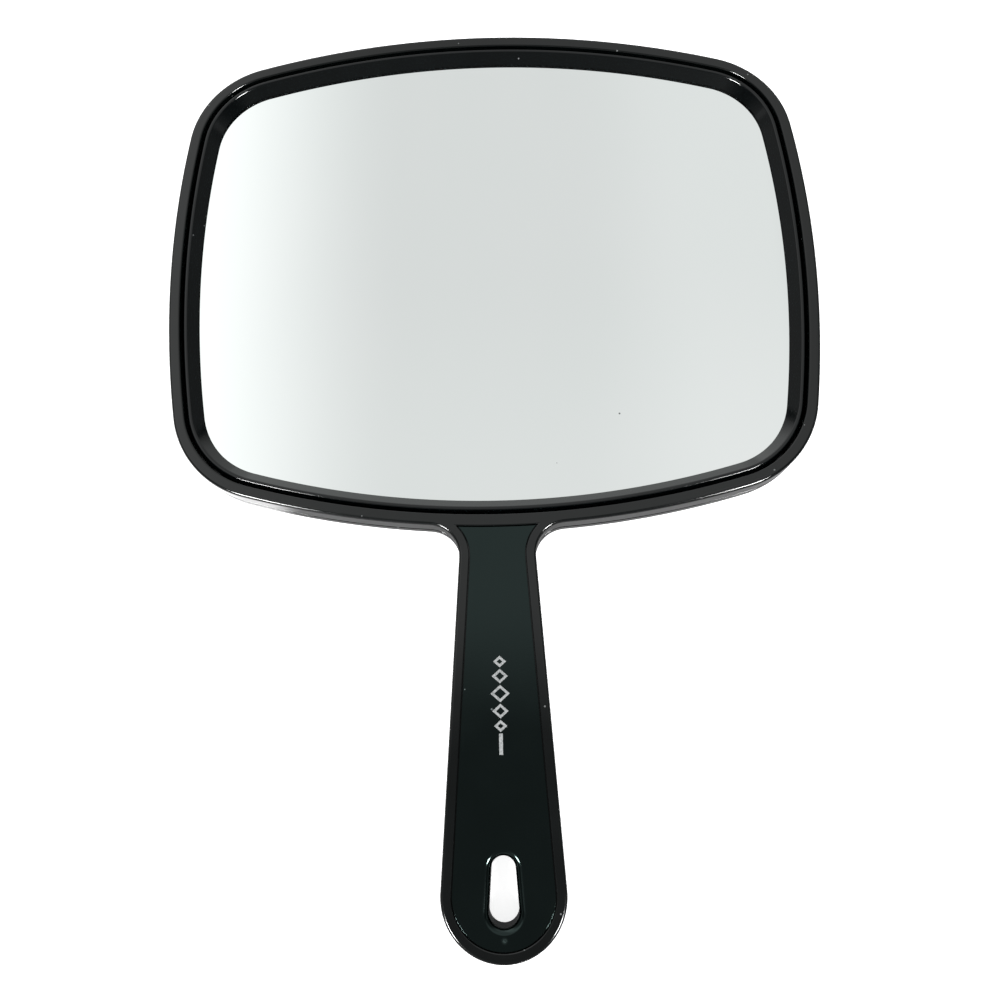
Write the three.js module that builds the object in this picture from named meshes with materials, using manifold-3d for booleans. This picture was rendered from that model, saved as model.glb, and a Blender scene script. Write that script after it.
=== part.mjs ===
// Salon hand mirror: a wide, round-cornered mirror head on a flat tapering handle with a hanging slot.
// It lies on its back. Millimetres, +Z out of the mirror, +Y from the handle to the top of the head,
// origin at the bottom centre of the bounding box. Everything is symmetric about X = 0.
import * as THREE from 'three';
import { mergeVertices } from 'three/addons/utils/BufferGeometryUtils.js';
import Module from 'manifold-3d';

const wasm = await Module();
wasm.setup();

// Outer outline of the whole mirror
const LENGTH = 273;
const THICKNESS = 12;
const HEAD_HALF_WIDTH = 96.6;
const HEAD_HALF_HEIGHT = 79.6;
const HEAD_SIDE_RADIUS = 301;
const HEAD_CROWN_RADIUS = 267;
const HEAD_CORNER_RADIUS = 29.5;
const HANDLE_END_RADIUS = 16.4;
const HANDLE_NECK_HALF_WIDTH = 10.95;
const HANDLE_NECK_Y = -35;
const NECK_FILLET_RADIUS = 9;

// Edges and the joint between the two casing halves
const FRONT_EDGE_RADIUS = 1;
const BACK_EDGE_RADIUS = 2.5;
const SEAM_Z = 5;
const FLOOR_THICKNESS = 2;
const SKIRT_THICKNESS = 1.2;
const TONGUE_GAP = 0.2;
const TONGUE_THICKNESS = 0.8;
const TONGUE_TOP_Z = 6;
const FRAME_STEP_Z = 6.3;

// Widths measured inwards from the outer outline
const RIM_WIDTH = 3.4;
const HANDLE_BORDER_WIDTH = 2.8;
const HANDLE_LEDGE_WIDTH = 1.4;
const RING_FOOT_INSET = 3.7;
const RING_BODY_INSET = 4.5;
const RING_LAND_INSET = 5.45;
const WINDOW_INSET = 8;
const GLASS_INSET = 4.8;
const COATING_INSET = 5.1;
const BOARD_INSET = 5.4;

// Heights of the mirror stack and of the retaining ring above it
const BOARD_THICKNESS = 1.2;
const COATING_THICKNESS = 0.3;
const GLASS_THICKNESS = 3;
const GLASS_TOP_Z = 8;
const GLASS_CHAMFER = 0.4;
const RING_BOTTOM_Z = 8.1;
const RING_FOOT_TOP_Z = 9.3;
const RING_TOP_Z = 11.7;
const RING_LIP_THICKNESS = 0.5;

// Snap hooks under the retaining ring
const HOOK_LENGTH = 9;
const HOOK_THICKNESS = 0.7;
const HOOK_BARB_INSET = 2.5;
const HOOK_BOTTOM_Z = 5.4;
const HOOK_BARB_HEIGHT = 0.7;

// Foam pads behind the backing board
const PAD_SIZE_X = 34;
const PAD_SIZE_Y = 26;
const PAD_OFFSET_X = 48;
const PAD_OFFSET_Y = 36;

// Handle insert, hanging slot and what stands under the insert
const INSERT_GAP = 0.3;
const INSERT_TOP_Z = 11.5;
const INSERT_THICKNESS = 2.4;
const SLOT_TOP_Y = -113.5;
const SLOT_TOP_RADIUS = 3.2;
const SLOT_BOTTOM_Y = -123.95;
const SLOT_BOTTOM_RADIUS = 3.95;
const SLOT_LIP_RADIUS = 1.8;
const SLOT_BACK_CHAMFER = 0.8;
const COLLAR_THICKNESS = 1.6;
const RIB_THICKNESS = 1.6;
const RIB_CLEARANCE = 0.3;
const RIB_YS = [-52, -66, -80];
const PIN_YS = [-40, -97];
const PIN_RADIUS = 1.2;
const PIN_BOTTOM_Z = 6;
const BOSS_RADIUS = 3;
const BOSS_BORE_RADIUS = 1.5;
const BOSS_TOP_Z = 8.7;
const BOSS_BORE_BOTTOM_Z = 4;
const NECK_WALL_INSET = 0.6;
const NECK_WALL_THICKNESS = 1.6;
const NECK_WALL_HALF_WIDTH = 8;

// Flat chords stay this close to the true curves
const CHORD_ERROR = 0.05;
const CLEAR = 5;

// Centres of the arcs that make up the outline
const HEAD_Y = LENGTH / 2 - HEAD_HALF_HEIGHT;
const END_Y = -LENGTH / 2 + HANDLE_END_RADIUS;
const sideCentre = new THREE.Vector2(HEAD_HALF_WIDTH - HEAD_SIDE_RADIUS, HEAD_Y);
const crownCentre = new THREE.Vector2(0, HEAD_Y + HEAD_HALF_HEIGHT - HEAD_CROWN_RADIUS);
const chinCentre = new THREE.Vector2(0, HEAD_Y - HEAD_HALF_HEIGHT + HEAD_CROWN_RADIUS);
const endCentre = new THREE.Vector2(0, END_Y);
const cornerTop = cornerCentre();
const cornerBottom = new THREE.Vector2(cornerTop.x, 2 * HEAD_Y - cornerTop.y);
const sideAngle = angleFrom(sideCentre, cornerTop);
const crownAngle = angleFrom(crownCentre, cornerTop);
const handleTilt = sideTilt();
const filletCentre = neckFilletCentre();

function angleFrom(centre, point) {
  return Math.atan2(point.y - centre.y, point.x - centre.x);
}

// The crossing of two circles that lies on the given side of the line between their centres
function crossing(centreA, radiusA, centreB, radiusB, side) {
  const between = centreB.clone().sub(centreA);
  const distance = between.length();
  const along = (radiusA ** 2 - radiusB ** 2 + distance ** 2) / (2 * distance);
  const across = Math.sqrt(radiusA ** 2 - along ** 2);
  const direction = between.divideScalar(distance);
  const normal = new THREE.Vector2(-direction.y, direction.x).multiplyScalar(side * across);
  return centreA.clone().addScaledVector(direction, along).add(normal);
}

// A head corner's circle touches the side arc and the crown arc from inside
function cornerCentre() {
  const sideReach = HEAD_SIDE_RADIUS - HEAD_CORNER_RADIUS;
  const crownReach = HEAD_CROWN_RADIUS - HEAD_CORNER_RADIUS;
  return crossing(sideCentre, sideReach, crownCentre, crownReach, 1);
}

// The handle's straight side touches the end's circle and passes the neck: the tilt of its outward normal
function sideTilt() {
  const rise = HANDLE_NECK_Y - END_Y;
  const reach = Math.hypot(HANDLE_NECK_HALF_WIDTH, rise);
  return Math.asin(HANDLE_END_RADIUS / reach) - Math.atan2(HANDLE_NECK_HALF_WIDTH, rise);
}

// The neck fillet touches the handle's straight side and the head's lower arc from outside
function neckFilletCentre() {
  const normal = new THREE.Vector2(Math.cos(handleTilt), Math.sin(handleTilt));
  const upwards = new THREE.Vector2(-normal.y, normal.x);
  const foot = endCentre.clone().addScaledVector(normal, HANDLE_END_RADIUS + NECK_FILLET_RADIUS);
  const toFoot = foot.clone().sub(chinCentre);
  const middle = -toFoot.dot(upwards);
  const reach = HEAD_CROWN_RADIUS + NECK_FILLET_RADIUS;
  const half = Math.sqrt(middle ** 2 - toFoot.lengthSq() + reach ** 2);
  return foot.addScaledVector(upwards, middle - half);
}

// Points along an arc, both ends and the middle included
function arc(centre, radius, from, to) {
  const step = 2 * Math.acos(1 - CHORD_ERROR / radius);
  const count = 2 * Math.ceil(Math.abs(to - from) / (2 * step));
  const curve = new THREE.EllipseCurve(centre.x, centre.y, radius, radius, from, to, to < from);
  return curve.getPoints(count);
}

// Joins the stretches of a right-hand half outline, which run from the axis below to the axis above,
// and closes it with its mirror image
function mirrored(stretches) {
  const half = stretches[0];
  for (const stretch of stretches.slice(1)) {
    const meets = stretch[0].distanceTo(half[half.length - 1]) < 1e-6;
    half.push(...(meets ? stretch.slice(1) : stretch));
  }
  half[0].x = 0;
  half[half.length - 1].x = 0;
  const left = half.slice(1, -1).reverse().map((point) => new THREE.Vector2(-point.x, point.y));
  return new THREE.Shape([...half, ...left]);
}

function headUpperStretches(inset) {
  return [
    arc(cornerBottom, HEAD_CORNER_RADIUS - inset, -crownAngle, -sideAngle),
    arc(sideCentre, HEAD_SIDE_RADIUS - inset, -sideAngle, sideAngle),
    arc(cornerTop, HEAD_CORNER_RADIUS - inset, sideAngle, crownAngle),
    arc(crownCentre, HEAD_CROWN_RADIUS - inset, crownAngle, Math.PI / 2),
  ];
}

// The head's own closed outline, moved inwards by inset
function headOutline(inset) {
  const chin = arc(chinCentre, HEAD_CROWN_RADIUS - inset, -Math.PI / 2, -crownAngle);
  return mirrored([chin, ...headUpperStretches(inset)]);
}

// The outline of head and handle together, moved inwards by inset
function bodyOutline(inset) {
  const filletEnd = angleFrom(filletCentre, chinCentre);
  const chinStart = angleFrom(chinCentre, filletCentre);
  return mirrored([
    arc(endCentre, HANDLE_END_RADIUS - inset, -Math.PI / 2, handleTilt),
    arc(filletCentre, NECK_FILLET_RADIUS + inset, Math.PI + handleTilt, filletEnd),
    arc(chinCentre, HEAD_CROWN_RADIUS - inset, chinStart, -crownAngle),
    ...headUpperStretches(inset),
  ]);
}

// The handle's front panel: parallel to the handle's edge, closed above by an arc below the head
function panelOutline(inset, drop) {
  const filletRadius = NECK_FILLET_RADIUS + inset;
  const topRadius = HEAD_CROWN_RADIUS + drop;
  const corner = crossing(filletCentre, filletRadius, chinCentre, topRadius, 1);
  return mirrored([
    arc(endCentre, HANDLE_END_RADIUS - inset, -Math.PI / 2, handleTilt),
    arc(filletCentre, filletRadius, Math.PI + handleTilt, angleFrom(filletCentre, corner)),
    arc(chinCentre, topRadius, angleFrom(chinCentre, corner), -Math.PI / 2),
  ]);
}

// The hanging slot, wider at its lower end, grown outwards by outset
function slotOutline(outset) {
  const tilt = Math.asin((SLOT_BOTTOM_RADIUS - SLOT_TOP_RADIUS) / (SLOT_TOP_Y - SLOT_BOTTOM_Y));
  const bottom = new THREE.Vector2(0, SLOT_BOTTOM_Y);
  const top = new THREE.Vector2(0, SLOT_TOP_Y);
  return mirrored([
    arc(bottom, SLOT_BOTTOM_RADIUS + outset, -Math.PI / 2, tilt),
    arc(top, SLOT_TOP_RADIUS + outset, tilt, Math.PI / 2),
  ]);
}

// Turns a closed three.js geometry into a solid that can be cut and joined
function toSolid(geometry) {
  geometry.deleteAttribute('normal');
  geometry.deleteAttribute('uv');
  const welded = mergeVertices(geometry, 1e-4);
  return new wasm.Manifold(new wasm.Mesh({
    numProp: 3,
    vertProperties: new Float32Array(welded.attributes.position.array),
    triVerts: new Uint32Array(welded.index.array),
  }));
}

// A slab of an outline between two heights
function slab(shape, bottom, top) {
  const geometry = new THREE.ExtrudeGeometry(shape, { depth: top - bottom, bevelEnabled: false });
  return toSolid(geometry.translate(0, 0, bottom));
}

// A slab whose upper and lower edges are rounded, or cut at an angle when steps is 1
function edgedSlab(shape, bottom, top, inwards, height, steps) {
  const geometry = new THREE.ExtrudeGeometry(shape, {
    depth: top - bottom - 2 * height,
    bevelThickness: height,
    bevelSize: inwards,
    bevelOffset: -inwards,
    bevelSegments: steps,
  });
  return toSolid(geometry.translate(0, 0, bottom + height));
}

function block(sizeX, sizeY, bottom, top, centreX, centreY, turn = 0) {
  const geometry = new THREE.BoxGeometry(sizeX, sizeY, top - bottom);
  geometry.rotateZ(turn);
  return toSolid(geometry.translate(centreX, centreY, (bottom + top) / 2));
}

function peg(radius, bottom, top, y) {
  const geometry = new THREE.CylinderGeometry(radius, radius, top - bottom, 20);
  geometry.rotateX(Math.PI / 2);
  return toSolid(geometry.translate(0, y, (bottom + top) / 2));
}

// The closed outer form of the two casing halves together
function casingForm() {
  const front = edgedSlab(bodyOutline(0), -CLEAR, THICKNESS, FRONT_EDGE_RADIUS, FRONT_EDGE_RADIUS, 3);
  const back = edgedSlab(bodyOutline(0), 0, THICKNESS + CLEAR, BACK_EDGE_RADIUS, BACK_EDGE_RADIUS, 4);
  return front.intersect(back);
}

// Front casing: the rim round the head, the border round the handle and the bar between them
function frontFrame() {
  const insertBottom = INSERT_TOP_Z - INSERT_THICKNESS;
  const wellInset = HANDLE_BORDER_WIDTH + HANDLE_LEDGE_WIDTH;
  return casingForm()
    .subtract(slab(bodyOutline(-CLEAR), -CLEAR, SEAM_Z))
    .subtract(slab(bodyOutline(SKIRT_THICKNESS), 0, FRAME_STEP_Z))
    .subtract(slab(headOutline(RIM_WIDTH), 0, THICKNESS + CLEAR))
    .subtract(slab(panelOutline(HANDLE_BORDER_WIDTH, 0), insertBottom, THICKNESS + CLEAR))
    .subtract(slab(panelOutline(wellInset, HANDLE_LEDGE_WIDTH), 0, THICKNESS));
}

// Upright wall across the neck, between the mirror's chamber and the handle
function neckWall() {
  const outer = slab(headOutline(NECK_WALL_INSET), FLOOR_THICKNESS, TONGUE_TOP_Z);
  const inner = slab(headOutline(NECK_WALL_INSET + NECK_WALL_THICKNESS), 0, THICKNESS);
  const chinY = HEAD_Y - HEAD_HALF_HEIGHT;
  return outer.subtract(inner).intersect(block(2 * NECK_WALL_HALF_WIDTH, 20, 0, THICKNESS, 0, chinY));
}

// Cross ribs that stiffen the handle and back the insert
function handleRibs() {
  const wellInset = HANDLE_BORDER_WIDTH + HANDLE_LEDGE_WIDTH + RIB_CLEARANCE;
  const top = INSERT_TOP_Z - INSERT_THICKNESS - RIB_CLEARANCE;
  const well = slab(panelOutline(wellInset, HANDLE_LEDGE_WIDTH), 0, top);
  const bars = RIB_YS.map((y) => block(60, RIB_THICKNESS, FLOOR_THICKNESS, top, 0, y));
  return bars.reduce((all, bar) => all.add(bar)).intersect(well);
}

// Sockets for the insert's two pins
function pinBosses() {
  const bosses = PIN_YS.map((y) => peg(BOSS_RADIUS, FLOOR_THICKNESS, BOSS_TOP_Z, y)
    .subtract(peg(BOSS_BORE_RADIUS, BOSS_BORE_BOTTOM_Z, THICKNESS, y)));
  return bosses[0].add(bosses[1]);
}

// Back casing: the closed back with its low wall, the tongue that enters the front frame,
// and the collar round the hanging slot
function backShell() {
  const tongueInset = SKIRT_THICKNESS + TONGUE_GAP;
  const insertBottom = INSERT_TOP_Z - INSERT_THICKNESS;
  const tongue = slab(bodyOutline(tongueInset), FLOOR_THICKNESS, TONGUE_TOP_Z);
  const slotEdge = edgedSlab(slotOutline(SLOT_BACK_CHAMFER), -CLEAR, SLOT_BACK_CHAMFER,
    SLOT_BACK_CHAMFER, SLOT_BACK_CHAMFER, 1);
  return casingForm()
    .subtract(slab(bodyOutline(-CLEAR), SEAM_Z, THICKNESS + CLEAR))
    .add(tongue)
    .subtract(slab(bodyOutline(tongueInset + TONGUE_THICKNESS), FLOOR_THICKNESS, THICKNESS))
    .add(neckWall())
    .add(handleRibs())
    .add(pinBosses())
    .add(slab(slotOutline(COLLAR_THICKNESS), FLOOR_THICKNESS, insertBottom))
    .subtract(slab(slotOutline(0), -CLEAR, THICKNESS))
    .subtract(slotEdge);
}

// Places of the snap hooks: a point on the head's outline and the direction out of it
function hookPlaces() {
  const places = [];
  for (const upDown of [-1, 1]) {
    for (const x of [-55, 0, 55]) {
      const y = HEAD_Y + upDown * HEAD_HALF_HEIGHT;
      places.push({ x, y, turn: 0 });
    }
  }
  for (const leftRight of [-1, 1]) {
    places.push({ x: leftRight * HEAD_HALF_WIDTH, y: HEAD_Y, turn: Math.PI / 2 });
  }
  return places;
}

function snapHooks() {
  const outerFace = slab(headOutline(RING_FOOT_INSET), HOOK_BOTTOM_Z, RING_FOOT_TOP_Z);
  const barbs = slab(headOutline(HOOK_BARB_INSET), HOOK_BOTTOM_Z, HOOK_BOTTOM_Z + HOOK_BARB_HEIGHT);
  const inside = slab(headOutline(RING_FOOT_INSET + HOOK_THICKNESS), 0, THICKNESS);
  const allRound = outerFace.add(barbs).subtract(inside);
  const windows = hookPlaces().map(({ x, y, turn }) => block(HOOK_LENGTH, 40, 0, THICKNESS, x, y, turn));
  return allRound.intersect(windows.reduce((all, window) => all.add(window)));
}

// Retaining ring: a foot on the glass, a land beside the rim's groove and a bevel down to the window
function bezelRing() {
  const bevelHeight = RING_TOP_Z - RING_BOTTOM_Z - RING_LIP_THICKNESS;
  const bevelWidth = WINDOW_INSET - RING_LAND_INSET;
  const bevelBottom = RING_BOTTOM_Z + RING_LIP_THICKNESS;
  const bevelCut = edgedSlab(headOutline(RING_LAND_INSET), bevelBottom, bevelBottom + 3 * bevelHeight,
    bevelWidth, bevelHeight, 1);
  return slab(headOutline(RING_BODY_INSET), RING_BOTTOM_Z, RING_TOP_Z)
    .add(slab(headOutline(RING_FOOT_INSET), RING_BOTTOM_Z, RING_FOOT_TOP_Z))
    .subtract(bevelCut)
    .subtract(slab(headOutline(WINDOW_INSET), 0, THICKNESS))
    .add(snapHooks());
}

// Front panel of the handle, with the rounded lip of the hanging slot and two pins behind
function handleInsert() {
  const inset = HANDLE_BORDER_WIDTH + INSERT_GAP;
  const bottom = INSERT_TOP_Z - INSERT_THICKNESS;
  const lip = edgedSlab(slotOutline(SLOT_LIP_RADIUS), INSERT_TOP_Z - SLOT_LIP_RADIUS, THICKNESS + CLEAR,
    SLOT_LIP_RADIUS, SLOT_LIP_RADIUS, 1);
  const pins = PIN_YS.map((y) => peg(PIN_RADIUS, PIN_BOTTOM_Z, bottom + INSERT_THICKNESS / 2, y));
  return slab(panelOutline(inset, INSERT_GAP), bottom, INSERT_TOP_Z)
    .subtract(slab(slotOutline(0), 0, THICKNESS))
    .subtract(lip)
    .add(pins[0])
    .add(pins[1]);
}

function mirrorGlass() {
  const bottom = GLASS_TOP_Z - GLASS_THICKNESS;
  return edgedSlab(headOutline(GLASS_INSET), bottom, GLASS_TOP_Z, GLASS_CHAMFER, GLASS_CHAMFER, 1);
}

function mirrorCoating() {
  const top = GLASS_TOP_Z - GLASS_THICKNESS;
  return slab(headOutline(COATING_INSET), top - COATING_THICKNESS, top);
}

function backingBoard() {
  const top = GLASS_TOP_Z - GLASS_THICKNESS - COATING_THICKNESS;
  return slab(headOutline(BOARD_INSET), top - BOARD_THICKNESS, top);
}

function foamPad(leftRight, upDown) {
  const top = GLASS_TOP_Z - GLASS_THICKNESS - COATING_THICKNESS - BOARD_THICKNESS;
  const x = leftRight * PAD_OFFSET_X;
  const y = HEAD_Y + upDown * PAD_OFFSET_Y;
  return block(PAD_SIZE_X, PAD_SIZE_Y, FLOOR_THICKNESS, top, x, y);
}

function blackPlastic() {
  return new THREE.MeshStandardMaterial({ color: 0x23282a, roughness: 0.22, metalness: 0 });
}

function clearGlass() {
  return new THREE.MeshStandardMaterial({ color: 0xdfe6e4, roughness: 0.02, metalness: 0 });
}

function silvering() {
  return new THREE.MeshStandardMaterial({ color: 0xd9dcdb, roughness: 0.03, metalness: 1 });
}

function greyBoard() {
  return new THREE.MeshStandardMaterial({ color: 0x8d8271, roughness: 0.9, metalness: 0 });
}

function whiteFoam() {
  return new THREE.MeshStandardMaterial({ color: 0xd8d6cf, roughness: 0.95, metalness: 0 });
}

// A named mesh from a finished solid
function piece(name, solid, material) {
  const { vertProperties, triVerts } = solid.getMesh();
  const geometry = new THREE.BufferGeometry();
  geometry.setAttribute('position', new THREE.BufferAttribute(vertProperties, 3));
  geometry.setIndex(new THREE.BufferAttribute(triVerts, 1));
  geometry.computeVertexNormals();
  const mesh = new THREE.Mesh(geometry, material);
  mesh.name = name;
  return mesh;
}

const mirror = new THREE.Group();
mirror.add(piece('back_shell', backShell(), blackPlastic()));
mirror.add(piece('front_frame', frontFrame(), blackPlastic()));
mirror.add(piece('bezel_ring', bezelRing(), blackPlastic()));
mirror.add(piece('handle_insert', handleInsert(), blackPlastic()));
mirror.add(piece('mirror_glass', mirrorGlass(), clearGlass()));
mirror.add(piece('mirror_coating', mirrorCoating(), silvering()));
mirror.add(piece('backing_board', backingBoard(), greyBoard()));
for (const [rowName, upDown] of [['upper', 1], ['lower', -1]]) {
  for (const [sideName, leftRight] of [['left', -1], ['right', 1]]) {
    mirror.add(piece(`foam_pad_${rowName}_${sideName}`, foamPad(leftRight, upDown), whiteFoam()));
  }
}

export default mirror;
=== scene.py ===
"""Looks of the salon hand mirror: fine moulded surfaces, materials, studio and camera round the CAD frame.

Metres, +Z out of the mirror, +Y from the handle to the top of the head. The mirror lies on its back.
"""

import math

import bmesh
import bpy
from mathutils import Matrix, Vector


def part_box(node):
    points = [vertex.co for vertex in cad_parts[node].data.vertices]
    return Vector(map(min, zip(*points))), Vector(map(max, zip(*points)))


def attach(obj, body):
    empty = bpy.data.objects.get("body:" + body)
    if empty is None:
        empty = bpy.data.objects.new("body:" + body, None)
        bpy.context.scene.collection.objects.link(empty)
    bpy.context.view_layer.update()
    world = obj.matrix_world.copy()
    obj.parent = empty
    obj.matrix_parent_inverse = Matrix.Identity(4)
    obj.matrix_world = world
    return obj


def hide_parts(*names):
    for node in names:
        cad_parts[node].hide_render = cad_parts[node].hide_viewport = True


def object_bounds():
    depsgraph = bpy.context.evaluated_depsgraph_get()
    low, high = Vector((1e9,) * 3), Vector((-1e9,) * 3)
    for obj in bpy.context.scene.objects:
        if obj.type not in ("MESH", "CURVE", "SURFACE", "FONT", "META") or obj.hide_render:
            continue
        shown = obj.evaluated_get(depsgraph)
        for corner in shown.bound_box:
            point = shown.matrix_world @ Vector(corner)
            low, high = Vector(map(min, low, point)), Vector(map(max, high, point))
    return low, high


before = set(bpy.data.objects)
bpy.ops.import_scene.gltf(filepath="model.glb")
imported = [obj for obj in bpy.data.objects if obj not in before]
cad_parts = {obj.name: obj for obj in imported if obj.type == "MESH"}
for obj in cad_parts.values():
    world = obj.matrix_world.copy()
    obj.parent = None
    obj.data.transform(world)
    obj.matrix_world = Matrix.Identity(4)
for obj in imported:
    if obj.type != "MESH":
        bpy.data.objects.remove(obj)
cad_low, cad_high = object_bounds()

# Outer outline of the whole mirror
LENGTH = cad_high.y - cad_low.y
HEAD_HALF_WIDTH = 0.0966
HEAD_HALF_HEIGHT = 0.0796
HEAD_SIDE_RADIUS = 0.301
HEAD_CROWN_RADIUS = 0.267
HEAD_CORNER_RADIUS = 0.0295
HANDLE_END_RADIUS = 0.0164
HANDLE_NECK_HALF_WIDTH = 0.01095
HANDLE_NECK_Y = -0.035
NECK_FILLET_RADIUS = 0.009

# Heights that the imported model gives
FRONT_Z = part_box("front_frame")[1].z
SEAM_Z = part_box("front_frame")[0].z
COLLAR_TOP_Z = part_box("back_shell")[1].z
INSERT_TOP_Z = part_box("handle_insert")[1].z
PIN_BOTTOM_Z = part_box("handle_insert")[0].z
RING_TOP_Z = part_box("bezel_ring")[1].z
HOOK_BOTTOM_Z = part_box("bezel_ring")[0].z
GLASS_BOTTOM_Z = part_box("mirror_glass")[0].z
GLASS_TOP_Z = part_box("mirror_glass")[1].z
FLOOR_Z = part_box("foam_pad_upper_left")[0].z

# Casing halves
FRONT_EDGE_RADIUS = 0.0008
BACK_EDGE_RADIUS = 0.0025
SEAM_EDGE_RADIUS = 0.00022
SEAM_GAP = 0.0007
SEAM_GAP_DEPTH = 0.0009
SKIRT_THICKNESS = 0.0012
TONGUE_GAP = 0.0002
TONGUE_THICKNESS = 0.0008
TONGUE_TOP_Z = 0.006
FRAME_STEP_Z = 0.0063
RIM_WIDTH = 0.0034
RIM_INNER_RADIUS = 0.00048
HANDLE_LEDGE_WIDTH = 0.0014
HANDLE_BORDER_WIDTH = 0.0028
BORDER_INNER_RADIUS = 0.0003

# Ring that holds the glass: widths measured inwards from the outer outline
RING_FOOT_INSET = 0.0037
RING_BODY_INSET = 0.0045
RING_LAND_INSET = 0.00545
WINDOW_INSET = 0.008
RING_BOTTOM_Z = 0.0081
RING_FOOT_TOP_Z = 0.0093
RING_LIP_THICKNESS = 0.0005
RING_OUTER_RADIUS = 0.00035
RING_INNER_RADIUS = 0.0008
RING_LIP_UNDERCUT = 0.00048
RING_FOOT_DROP = 0.0005
HOOK_LENGTH = 0.009
HOOK_THICKNESS = 0.0007
HOOK_BARB_INSET = 0.0025
HOOK_BARB_HEIGHT = 0.0007
HOOK_LEAD = 0.0003
HOOK_OFFSET_X = 0.055

# Glass
GLASS_INSET = 0.0048
GLASS_CHAMFER = 0.0004

# Handle insert, hanging slot and what stands under the insert
INSERT_GAP = 0.0003
INSERT_SHOWN_GAP = 0.00022
INSERT_FLANGE_HEIGHT = 0.0008
INSERT_EDGE_RADIUS = 0.00012
SLOT_TOP_Y = -0.1135
SLOT_TOP_RADIUS = 0.0032
SLOT_BOTTOM_Y = -0.12395
SLOT_BOTTOM_RADIUS = 0.00395
SLOT_LIP_RADIUS = 0.0018
SLOT_BACK_RADIUS = 0.0008
COLLAR_THICKNESS = 0.0016
RIB_THICKNESS = 0.0016
RIB_CLEARANCE = 0.0003
RIB_YS = (-0.052, -0.066, -0.080)
PIN_YS = (-0.040, -0.097)
PIN_RADIUS = 0.0012
PIN_TIP = 0.0003
BOSS_RADIUS = 0.003
BOSS_BORE_RADIUS = 0.0015
BOSS_TOP_Z = 0.0087
BOSS_BORE_BOTTOM_Z = 0.004
NECK_WALL_INSET = 0.0006
NECK_WALL_THICKNESS = 0.0016
NECK_WALL_HALF_WIDTH = 0.008
GATE_MARK_Y = -0.13075
GATE_MARK_RADIUS = 0.0006
GATE_MARK_HEIGHT = 0.00002
GATE_MARK_ROUNDS = 8

# Printed ornament on the handle
ORNAMENT_TOP_Y = -0.0588
ORNAMENT_COUNT = 5
ORNAMENT_HALF_WIDTH = 0.0026
ORNAMENT_HALF_LENGTH = 0.0023
ORNAMENT_TAPER = 0.16
ORNAMENT_STROKE = 0.0007
ORNAMENT_GAP = 0.0004
ORNAMENT_BAR_HALF_WIDTH = 0.0005
ORNAMENT_BAR_LENGTH = 0.0055
INK_THICKNESS = 0.00002

# Foam pads
PAD_CORNER_RADIUS = 0.0012
PAD_EDGE_RADIUS = 0.0005

# How finely curves are drawn and how they are shaded
ROUNDING_STEP = math.radians(12)
SHARP_ANGLE = math.radians(36)
LEVEL_FACE_WEIGHT = 90
LEVEL_MARGIN = 0.0002
END_STEPS = 30
STRAIGHT_STEPS = 16
FILLET_STEPS = 14
CHIN_STEPS = 22
CORNER_STEPS = 22
SIDE_STEPS = 26
CROWN_STEPS = 26
CIRCLE_STEPS = 32

HEAD_Y = LENGTH / 2 - HEAD_HALF_HEIGHT
END_Y = HANDLE_END_RADIUS - LENGTH / 2
INSERT_BOTTOM_Z = COLLAR_TOP_Z


# ---------------------------------------------------------------- outlines

def angle_from(centre, point):
    return math.atan2(point.y - centre.y, point.x - centre.x)


def on_circle(centre, radius, angle):
    return centre + Vector((math.cos(angle), math.sin(angle))) * radius


def arc(centre, radius, start, end, steps):
    """Points along an arc, both ends included."""
    return [on_circle(centre, radius, start + (end - start) * i / steps) for i in range(steps + 1)]


def line(start, end, steps):
    """Points strictly between two points."""
    return [start.lerp(end, i / steps) for i in range(1, steps)]


def crossing(centre_a, radius_a, centre_b, radius_b):
    """The crossing of two circles that lies to the left of the way from the first centre to the second."""
    between = centre_b - centre_a
    distance = between.length
    along = (radius_a**2 - radius_b**2 + distance**2) / (2 * distance)
    across = math.sqrt(radius_a**2 - along**2)
    direction = between / distance
    return centre_a + direction * along + Vector((-direction.y, direction.x)) * across


SIDE_CENTRE = Vector((HEAD_HALF_WIDTH - HEAD_SIDE_RADIUS, HEAD_Y))
CROWN_CENTRE = Vector((0, HEAD_Y + HEAD_HALF_HEIGHT - HEAD_CROWN_RADIUS))
CHIN_CENTRE = Vector((0, HEAD_Y - HEAD_HALF_HEIGHT + HEAD_CROWN_RADIUS))
END_CENTRE = Vector((0, END_Y))
CORNER_TOP = crossing(
    SIDE_CENTRE, HEAD_SIDE_RADIUS - HEAD_CORNER_RADIUS, CROWN_CENTRE, HEAD_CROWN_RADIUS - HEAD_CORNER_RADIUS
)
CORNER_BOTTOM = Vector((CORNER_TOP.x, 2 * HEAD_Y - CORNER_TOP.y))
SIDE_ANGLE = angle_from(SIDE_CENTRE, CORNER_TOP)
CROWN_ANGLE = angle_from(CROWN_CENTRE, CORNER_TOP)


def side_tilt():
    """Tilt of the handle side's outward normal: the side touches the end's circle and passes the neck."""
    rise = HANDLE_NECK_Y - END_Y
    reach = math.hypot(HANDLE_NECK_HALF_WIDTH, rise)
    return math.asin(HANDLE_END_RADIUS / reach) - math.atan2(HANDLE_NECK_HALF_WIDTH, rise)


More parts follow.
